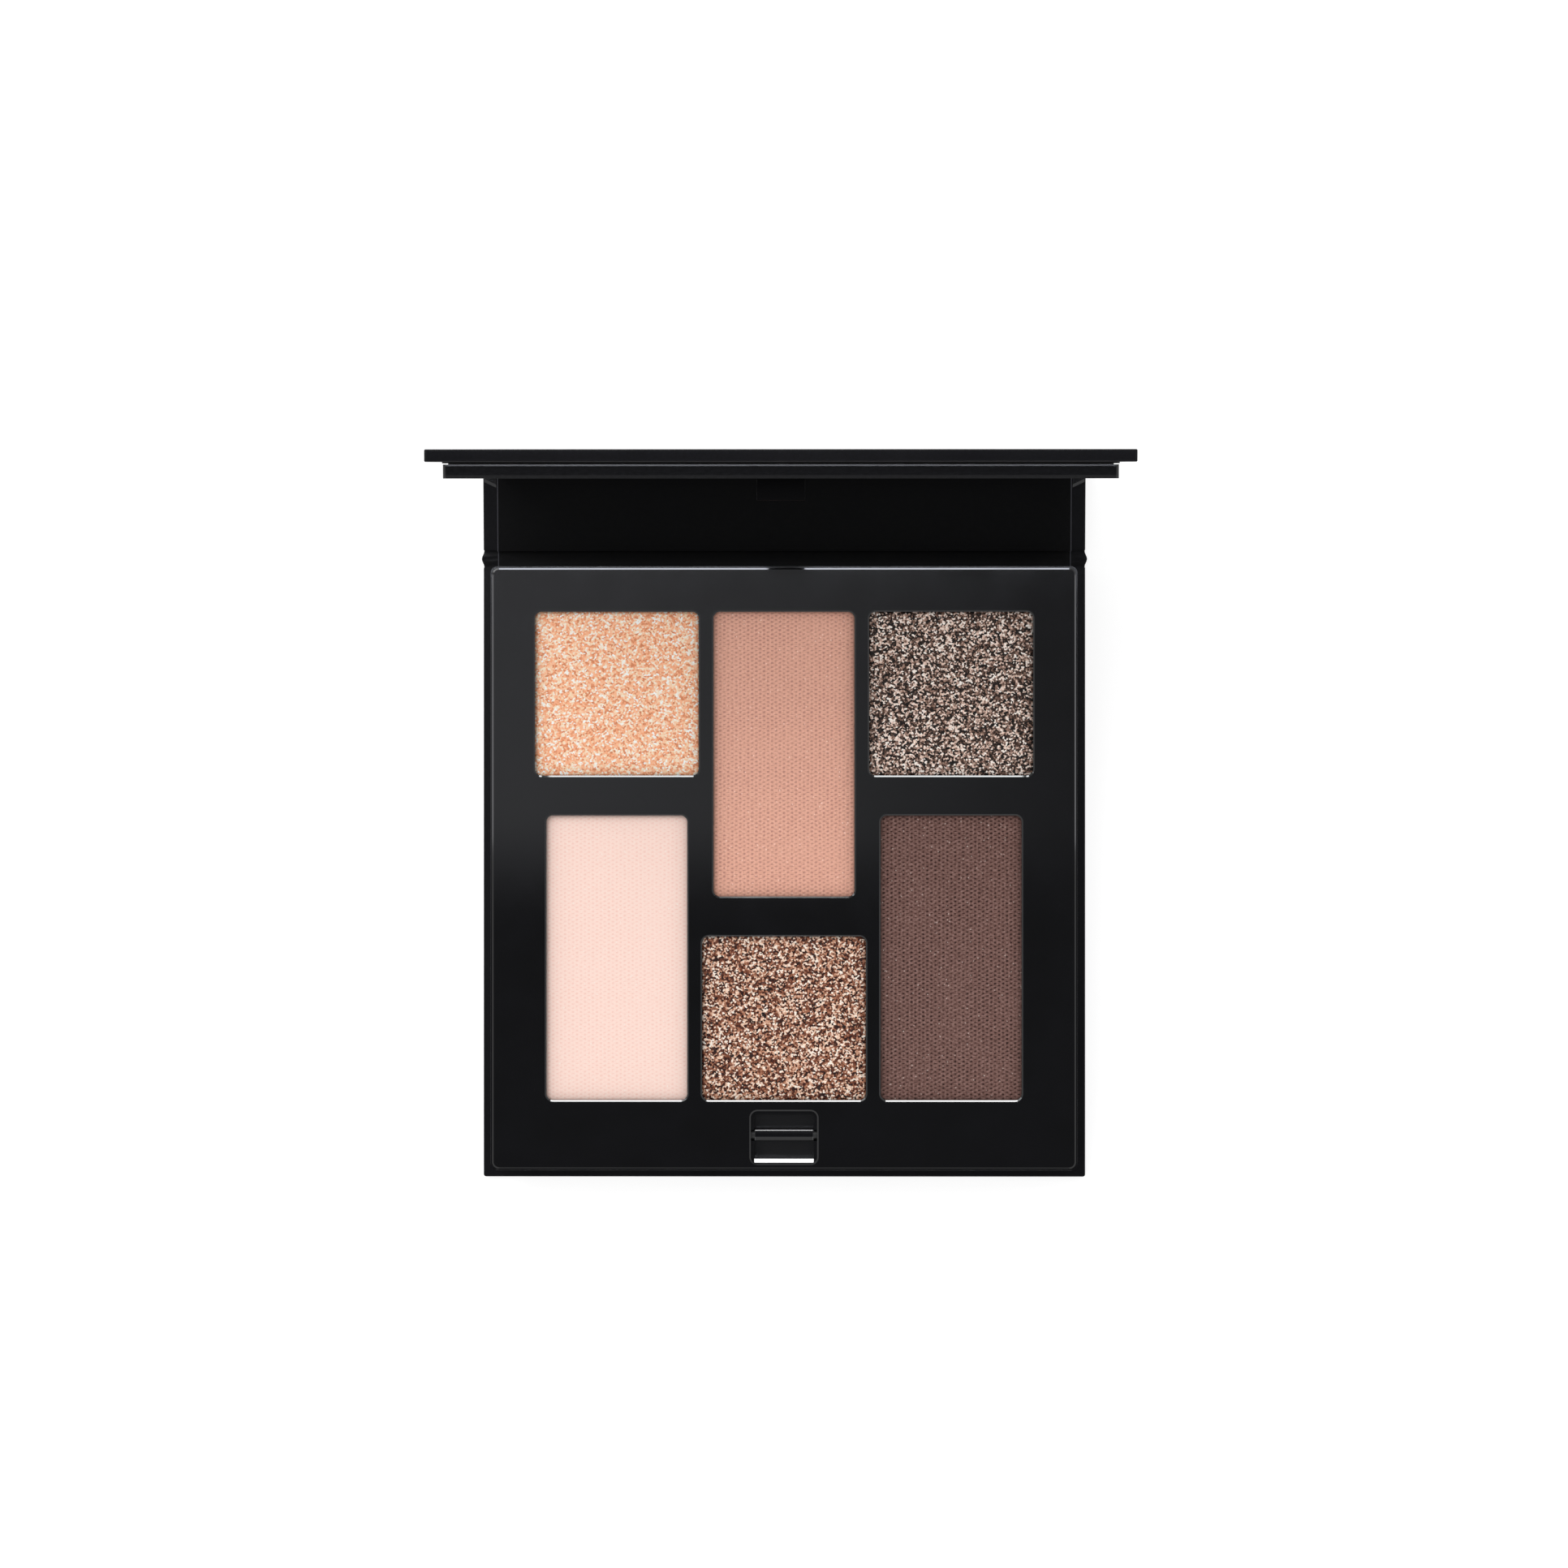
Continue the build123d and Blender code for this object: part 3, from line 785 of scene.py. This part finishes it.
for v in [v for v in bm.verts if abs(v.co.z - ridge) < PICK]:
    x, y = v.co.xy
    if y < PLATE_LOW.y + PICK:
        v.co.z = PLATE_HIGH.z - FRONT_DROP
    elif y > PLATE_HIGH.y - PICK:
        v.co.z = PLATE_HIGH.z - REAR_DROP
    elif abs(x) > PLATE_HIGH.x - WINDOW_RADIUS:
        v.co.z = PLATE_HIGH.z - SIDE_DROP
    elif abs(x) < CATCH_OPENING[0] / 2 + PICK and y < catch_high[1] + PICK:
        v.co.z = PLATE_HIGH.z - CATCH_DROP
plate = finish_piece("bezel_plate_gloss", bm, plate_gloss, smooth=0.3)
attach(plate, "base")
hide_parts("bezel_plate")


# ---- mirror and frame ---------------------------------------------------------------------------
# A glossy black moulded frame holds the mirror in a shallow recess. Its end face falls away
# slightly along both edges. The mirror is silvered glass, taped in.
FRAME_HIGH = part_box("mirror_frame")[1]
MIRROR_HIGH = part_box("mirror_glass")[1]
FRAME_CORNER = 0.3 * MM
# How far down the end face each fall starts, and how far it falls back.
REAR_FALL = (0.17 * MM, 0.0116 * MM)
FRONT_FALL = (0.35 * MM, 0.037 * MM)

frame_plastic, tree, place = new_material("black ABS, gloss moulded")
grain = add(tree, "ShaderNodeTexNoise", {"Vector": place, "Scale": 2.5, "Detail": 3})
tone = add(
    tree, "ShaderNodeValToRGB", {"Fac": grain.outputs["Fac"]}, stops=[(0.3, "0a0a0c"), (0.7, "0e0e11")]
).outputs[0]
polish = add(tree, "ShaderNodeMapRange", {0: grain.outputs["Fac"], 1: 0.3, 2: 0.7, 3: 0.1, 4: 0.15})
abs_gloss = add(
    tree,
    "ShaderNodeBsdfPrincipled",
    {"Base Color": tone, "Roughness": polish.outputs[0], "IOR": 1.54},
)
add(tree, "ShaderNodeOutputMaterial", {"Surface": abs_gloss.outputs[0]})

bm = flat_copy("mirror_frame", LID_AT_REST)
frame_floor = min(v.co.z for v in bm.verts)
frame_near = min(v.co.y for v in bm.verts)
frame_far = max(v.co.y for v in bm.verts)
bm.free()
bm = flat_copy("mirror_glass", LID_AT_REST)
frame_face = max(v.co.z for v in bm.verts)
bm.free()
bm = flat_copy("mirror_tape", LID_AT_REST)
recess = frame_face - min(v.co.z for v in bm.verts)
bm.free()
size = Matrix.Diagonal((2 * FRAME_HIGH.x, frame_far - frame_near, frame_face - frame_floor, 1))
middle = Vector((0, (frame_near + frame_far) / 2, (frame_floor + frame_face) / 2))
bm = bmesh.new()
bmesh.ops.create_cube(bm, size=1, matrix=Matrix.Translation(middle) @ size)
upright = [e for e in bm.edges if abs(e.verts[0].co.z - e.verts[1].co.z) > PICK]
bmesh.ops.bevel(
    bm, geom=upright, offset=FRAME_CORNER, segments=6, profile=0.5, affect="EDGES", material=-1
)
border = FRAME_HIGH.x - MIRROR_HIGH.x
for cut, way in (
    ((FRAME_HIGH.x - border, 0, 0), (1, 0, 0)),
    ((border - FRAME_HIGH.x, 0, 0), (1, 0, 0)),
    ((0, frame_near + border, 0), (0, 1, 0)),
    ((0, frame_far - border, 0), (0, 1, 0)),
):
    face = [f for f in bm.faces if all(abs(v.co.z - frame_face) < PICK for v in f.verts)]
    around = {part for f in face for part in (*f.edges, *f.verts)}
    bmesh.ops.bisect_plane(bm, geom=face + list(around), plane_co=cut, plane_no=way)
face = [f for f in bm.faces if all(abs(v.co.z - frame_face) < PICK for v in f.verts)]
opening = min(face, key=lambda f: (f.calc_center_median() - middle).length)
floor_of = bmesh.ops.extrude_face_region(bm, geom=[opening])
bmesh.ops.delete(bm, geom=[opening], context="FACES_ONLY")
for v in verts_in(floor_of["geom"]):
    v.co.z -= recess
for level in (frame_floor + REAR_FALL[0], frame_face - FRONT_FALL[0]):
    bmesh.ops.bisect_plane(
        bm, geom=everything_in(bm), plane_co=(0, 0, level), plane_no=(0, 0, 1)
    )
for v in bm.verts:
    if v.co.y > frame_far - FRAME_CORNER - PICK:
        if v.co.z < frame_floor + PICK:
            v.co.y -= REAR_FALL[1]
        elif v.co.z > frame_face - PICK:
            v.co.y -= FRONT_FALL[1]
mirror_frame = finish_piece("frame_moulding", bm, frame_plastic, LID_AT_REST, smooth=2)
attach(mirror_frame, "lid")
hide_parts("mirror_frame")

# the hook: part of the same moulding, but its tool is spark eroded, so it is dull; its tone is painted
# darker than the frame's, as painted shade
hook_shaded_plastic, tree, place = new_material("black ABS, spark-textured moulding")
grain = add(tree, "ShaderNodeTexNoise", {"Vector": place, "Scale": 7, "Detail": 3, "Roughness": 0.6})
# Painted shade: the hook's tones are darker than the rest of the moulding's.
tone = add(
    tree, "ShaderNodeValToRGB", {"Fac": grain.outputs["Fac"]}, stops=[(0.3, "030304"), (0.7, "060607")]
).outputs[0]
relief = add(
    tree, "ShaderNodeBump", {"Height": grain.outputs["Fac"], "Strength": 0.2, "Distance": 0.02 * MM}
)
hook_shaded_abs = add(
    tree,
    "ShaderNodeBsdfPrincipled",
    {
        "Base Color": tone,
        "Roughness": 0.5,
        "IOR": 1.54,
        "Specular IOR Level": 0.03,
        "Normal": relief.outputs[0],
    },
)
add(tree, "ShaderNodeOutputMaterial", {"Surface": hook_shaded_abs.outputs[0]})
HOOK_ROUND = 0.05 * MM
bm = flat_copy("mirror_frame", LID_AT_REST)
bmesh.ops.bisect_plane(
    bm,
    geom=everything_in(bm),
    plane_co=(0, 0, frame_face),
    plane_no=(0, 0, -1),
    clear_outer=True,
)
close_holes(bm)
bmesh.ops.delete(bm, geom=[v for v in bm.verts if not v.link_faces], context="VERTS")
round_edges(bm, lambda e: e.calc_face_angle(0) > SQUARE_TURN / 2, HOOK_ROUND, 2)
hook = finish_piece("catch_hook", bm, hook_shaded_plastic, LID_AT_REST)
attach(hook, "lid")
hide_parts("mirror_frame")

silvered_glass, tree, place = new_material("silvered glass, ground edge")
haze = add(tree, "ShaderNodeTexNoise", {"Vector": place, "Scale": 0.15, "Detail": 4})
polish = add(tree, "ShaderNodeMapRange", {0: haze.outputs["Fac"], 1: 0.3, 2: 0.8, 3: 0.008, 4: 0.03})
silver = add(
    tree,
    "ShaderNodeBsdfPrincipled",
    {"Base Color": linear("e4e7e8"), "Metallic": 1, "Roughness": polish.outputs[0]},
)
add(tree, "ShaderNodeOutputMaterial", {"Surface": silver.outputs[0]})
GROUND_EDGE = 0.15 * MM
bm = flat_copy("mirror_glass", LID_AT_REST)
round_edges(bm, lambda e: e.calc_face_angle(0) > SQUARE_TURN, GROUND_EDGE, 1)
mirror = finish_piece("mirror", bm, silvered_glass, LID_AT_REST, smooth=20)
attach(mirror, "lid")
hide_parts("mirror_glass")


# ---- catch bar ----------------------------------------------------------------------------------
# A black moulded bar across the pocket, for the hook. Its round ends sit in the housing, and
# between the walls it is flat on top, with one edge broken at the rear and a wider one in front.
PIN_LOW, PIN_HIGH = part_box("catch_pin")
PIN_R = (PIN_HIGH.z - PIN_LOW.z) / 2
PIN_MIDDLE = (PIN_LOW + PIN_HIGH) / 2
BAR_HALF = 3.5 * MM
BAR_SIDES = 180
# The length over which its polish fades towards each round end, in millimetres.
BAR_FADE = 0.1
# Each face of the bar's middle stretch: which way it looks, up from the rear, and how far out.
BAR_FACES = [(0, 1.0), (68, 1.149), (90, 0.89), (106, 0.94), (180, 1.0), (270, 1.0)]

bar_plastic, tree, place = new_material("black acetal, polished but for its round ends")
grain = add(tree, "ShaderNodeTexNoise", {"Vector": place, "Scale": 3, "Detail": 2})
tone = add(
    tree, "ShaderNodeValToRGB", {"Fac": grain.outputs["Fac"]}, stops=[(0.3, "09090b"), (0.7, "0d0d10")]
).outputs[0]
sideways = add(tree, "ShaderNodeSeparateXYZ", {0: place}).outputs["X"]
sideways = add(tree, "ShaderNodeMath", {0: sideways}, operation="ABSOLUTE")
polish = add(
    tree,
    "ShaderNodeMapRange",
    {0: sideways.outputs[0], 1: BAR_HALF / MM - BAR_FADE, 2: BAR_HALF / MM, 3: 0.12, 4: 0.6},
)
acetal = add(
    tree,
    "ShaderNodeBsdfPrincipled",
    {"Base Color": tone, "Roughness": polish.outputs[0], "IOR": 1.48},
)
add(tree, "ShaderNodeOutputMaterial", {"Surface": acetal.outputs[0]})

bm = bmesh.new()
turn = Matrix.Rotation(math.pi / 2, 4, "Y")
bmesh.ops.create_cone(
    bm,
    cap_ends=True,
    segments=BAR_SIDES,
    radius1=PIN_R,
    radius2=PIN_R,
    depth=PIN_HIGH.x - PIN_LOW.x,
    matrix=turn,
)
for x in (-BAR_HALF - PICK, -BAR_HALF + PICK, BAR_HALF - PICK, BAR_HALF + PICK):
    bmesh.ops.bisect_plane(bm, geom=everything_in(bm), plane_co=(x, 0, 0), plane_no=(1, 0, 0))
for v in bm.verts:
    if abs(v.co.x) < BAR_HALF:
        angle = math.atan2(v.co.z, v.co.y)
        reach = min(
            share * PIN_R / max(math.cos(angle - math.radians(face)), 0.1)
            for face, share in BAR_FACES
        )
        v.co.y = reach * math.cos(angle)
        v.co.z = reach * math.sin(angle)
bmesh.ops.translate(bm, vec=PIN_MIDDLE, verts=bm.verts)
bar = finish_piece("catch_bar", bm, bar_plastic, smooth=15)
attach(bar, "base")
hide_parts("catch_pin")


# ---- pans ---------------------------------------------------------------------------------------
# Shallow stamped aluminium pans, glued into the tray's wells. Only their rims could be seen, past
# the cakes, from the side.
stamped_aluminium, tree, place = new_material("aluminium, stamped")
drawn = add(tree, "ShaderNodeTexNoise", {"Vector": place, "Scale": 1.5, "Detail": 5, "Roughness": 0.7})
tone = add(
    tree, "ShaderNodeValToRGB", {"Fac": drawn.outputs["Fac"]}, stops=[(0.3, "b9babc"), (0.7, "d2d3d5")]
).outputs[0]
polish = add(tree, "ShaderNodeMapRange", {0: drawn.outputs["Fac"], 1: 0.3, 2: 0.7, 3: 0.28, 4: 0.42})
metal = add(
    tree,
    "ShaderNodeBsdfPrincipled",
    {"Base Color": tone, "Metallic": 1, "Roughness": polish.outputs[0]},
)
add(tree, "ShaderNodeOutputMaterial", {"Surface": metal.outputs[0]})
for node in frame["nodes"]:
    if "_pan_" in node:
        repaint(node, stamped_aluminium)


# ---- powders ------------------------------------------------------------------------------------
# Eyeshadow pressed into the pans as dry cakes. A stamp wrapped in cloth presses the matt ones and
# leaves a faint weave of dimples, painted darker as painted shade; the others are mica and glitter
# flakes that lie at all angles.
CAKE_EDGE = 0.3 * MM
CAKE_CORNER = 0.8 * MM
WEAVE = (0.95 * MM, 0.49 * MM)
WEAVE_DEPTH = 0.03 * MM
WEAVE_CELL = 0.1 * MM
# How strongly the weave prints, and how much that varies from patch to patch.
WEAVE_HOLD = 0.85
WEAVE_VARIES = 0.3
PATCH = 4.5 * MM
# Of the threads' wave, the height where a dimple starts and the rise to its full depth.
DIMPLE_START = 0.25
DIMPLE_RISE = 0.6
# How strongly the dimples are painted darker, as painted shade.
DIMPLE_PAINTED_SHADE = 0.75
FLECKS_PER_MM = 8
FLECK_ABOVE = 0.996
# Real flakes are about 0.1 mm. These are drawn twice as large, so that they show.
FLAKES_PER_MM = 5
FLAKE_SHIFT = 0.35
CLUMPING = 0.12
# Each glitter cake: its slot, the flakes' spacing, how rough they lie, their metallic and
# roughness, and their tones from the darkest up; the palest are painted glints and the darkest
# painted shadow between flakes, and the ones between are the flakes' own tones.
GLITTER = {
    "square_powder_1": ("powder_peach_shimmer", 0.13 * MM, 0.011 * MM, 0.1, 0.42, [
        (0, "da865c"), (0.25, "faab80"), (0.5, "ffc199"), (0.75, "ffe1bf"), (1, "fffffc")]),
    "square_powder_2": ("powder_taupe_glitter", 0.15 * MM, 0.034 * MM, 0.12, 0.35, [
        (0, "050201"), (0.2, "130a06"), (0.38, "38261d"), (0.52, "654a3e"), (0.66, "9b7969"),
        (0.8, "eccebd"), (1, "fff6ee")]),
    "square_powder_3": ("powder_bronze_glitter", 0.15 * MM, 0.03 * MM, 0.15, 0.35, [
        (0, "180502"), (0.2, "371208"), (0.38, "67331f"), (0.52, "8e563d"), (0.66, "c08769"),
        (0.8, "eecab0"), (1, "fbefe2")]),
}
# Each matt cake: its slot, its dimples' painted shade, its own tone and its palest, and its flecks.
MATT = {
    "long_powder_1": ("powder_pink_matte", "f8cfc1", "ffdfd3", "ffe8dd", "ffebe1"),
    "long_powder_2": ("powder_tan_matte", "c0867a", "e6ac96", "fbc8b3", "fcd3c2"),
    "long_powder_3": ("powder_brown_matte", "27130f", "6f5049", "ae8c84", "b8a39b"),
}


def cake(node, cell, relief):
    """A pressed cake: round corners, a rolled edge, and the relief (a move for each point)."""
    low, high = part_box(node)
    centre, half = (low + high) / 2, (high - low) / 2
    bm = bmesh.new()
    steps = [round(2 * size / cell) for size in half.xy]
    size = Matrix.Diagonal((half.x, half.y, 1, 1))
    bmesh.ops.create_grid(bm, x_segments=steps[0], y_segments=steps[1], size=1, matrix=size)
    rim = [e for e in bm.edges if e.is_boundary]
    # This layer holds how much each point is painted darker, as painted shade in the dimples.
    dimple = bm.verts.layers.float.new("dimple")
    for v in bm.verts:
        x, y = v.co.xy
        inward = min(half.x - abs(x), half.y - abs(y))
        # Within a corner square, rings of the grid become quarter circles.
        across = (abs(x) - half.x + CAKE_CORNER) / CAKE_CORNER
        along = (abs(y) - half.y + CAKE_CORNER) / CAKE_CORNER
        if across > 0 and along > 0:
            ring = max(across, along)
            angle = math.pi / 4 * min(across, along) / ring
            angle = angle if across > along else math.pi / 2 - angle
            x = math.copysign(half.x + CAKE_CORNER * (ring * math.cos(angle) - 1), x)
            y = math.copysign(half.y + CAKE_CORNER * (ring * math.sin(angle) - 1), y)
        roll = max(CAKE_EDGE - inward, 0)
        fall = CAKE_EDGE - math.sqrt(CAKE_EDGE**2 - roll**2)
        move, v[dimple] = relief(centre.x + x, centre.y + y, inward)
        v.co = Vector((centre.x + x, centre.y + y, high.z - fall)) + move
    skirt = bmesh.ops.extrude_edge_only(bm, edges=rim)
    for v in verts_in(skirt["geom"]):
        v.co.z = low.z
    close_holes(bm)
    return bm


for number, (node, (slot, cell, jolt, metallic, roughness, flake_tones_and_glints)) in enumerate(GLITTER.items()):
    flakes, tree, place = new_material(slot.replace("powder", "pressed mica and glitter"))
    flake = add(tree, "ShaderNodeTexVoronoi", {"Vector": place, "Scale": FLAKES_PER_MM})
    pick = add(tree, "ShaderNodeSeparateColor", {0: flake.outputs["Color"]})
    clump = add(tree, "ShaderNodeTexNoise", {"Vector": place, "Scale": 1.3, "Detail": 2})
    drift = add(
        tree, "ShaderNodeMapRange", {0: clump.outputs["Fac"], 1: 0.3, 2: 0.7, 3: -CLUMPING, 4: CLUMPING}
    )
    level = add(
        tree, "ShaderNodeMath", {0: pick.outputs[0], 1: drift.outputs[0]}, operation="ADD"
    )
    # The flakes' tones, with painted glints at the pale end and painted shadow at the dark end.
    tone = add(tree, "ShaderNodeValToRGB", {"Fac": level.outputs[0]}, stops=flake_tones_and_glints)
    powder = add(
        tree,
        "ShaderNodeBsdfPrincipled",
        {
            "Base Color": tone.outputs[0],
            "Metallic": metallic,
            "Roughness": roughness,
            "Specular IOR Level": 0.25,
        },
    )
    add(tree, "ShaderNodeOutputMaterial", {"Surface": powder.outputs[0]})
    draw = random.Random(number)

    def scatter(x, y, inward, cell=cell, jolt=jolt, draw=draw):
        loose = min(inward / cell, 1)
        shift = Vector((draw.uniform(-1, 1), draw.uniform(-1, 1), 0)) * FLAKE_SHIFT * cell
        return (shift + Vector((0, 0, draw.uniform(-2, 0) * jolt))) * loose, 0

    piece = finish_piece(f"{slot}_cake", cake(node, cell, scatter), flakes, smooth=2)
    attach(piece, "base")
    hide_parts(node)

for number, (node, (slot, dimple_painted_shade, own, pale, fleck)) in enumerate(MATT.items()):
    matt, tree, place = new_material(slot.replace("powder", "pressed talc and pigment"))
    mark = add(tree, "ShaderNodeAttribute", attribute_name="dimple")
    grit = add(
        tree, "ShaderNodeTexNoise", {"Vector": place, "Scale": 4.5, "Detail": 4, "Roughness": 0.7}
    )
    level = add(
        tree,
        "ShaderNodeMapRange",
        {0: grit.outputs["Fac"], 1: 0.25, 2: 0.75, 3: 0.25, 4: 0.85},
    )
    # Painted shade: the dimples are painted darker than the rest of the cake.
    level = add(
        tree, "ShaderNodeMath", {0: level.outputs[0], 1: mark.outputs["Fac"]}, operation="SUBTRACT"
    )
    tone = add(
        tree,
        "ShaderNodeValToRGB",
        {"Fac": level.outputs[0]},
        stops=[(0, dimple_painted_shade), (0.5, own), (1, pale)],
    )
    speck = add(tree, "ShaderNodeTexVoronoi", {"Vector": place, "Scale": FLECKS_PER_MM})
    pick = add(tree, "ShaderNodeSeparateColor", {0: speck.outputs["Color"]})
    rare = add(
        tree, "ShaderNodeMath", {0: pick.outputs[0], 1: FLECK_ABOVE}, operation="GREATER_THAN"
    )
    flecked = add(
        tree,
        "ShaderNodeMix",
        {0: rare.outputs[0], 6: tone.outputs[0], 7: linear(fleck)},
        data_type="RGBA",
    )
    cake_face = add(
        tree,
        "ShaderNodeBsdfPrincipled",
        {"Base Color": flecked.outputs[2], "Roughness": 0.88, "Specular IOR Level": 0.25},
    )
    add(tree, "ShaderNodeOutputMaterial", {"Surface": cake_face.outputs[0]})

    def woven(x, y, inward, number=number):
        patch = noise.noise(Vector((x / PATCH, y / PATCH, 5 + number)))
        hold = (WEAVE_HOLD + WEAVE_VARIES * patch) * min(inward / CAKE_EDGE, 1)
        dot = math.cos(math.tau * x / WEAVE[0]) * math.cos(math.tau * y / WEAVE[1])
        mark = eased((dot - DIMPLE_START) / DIMPLE_RISE) * hold
        return Vector((0, 0, -mark * WEAVE_DEPTH)), mark * DIMPLE_PAINTED_SHADE

    piece = finish_piece(f"{slot}_cake", cake(node, WEAVE_CELL, woven), matt)
    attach(piece, "base")
    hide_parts(node)


low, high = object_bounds()
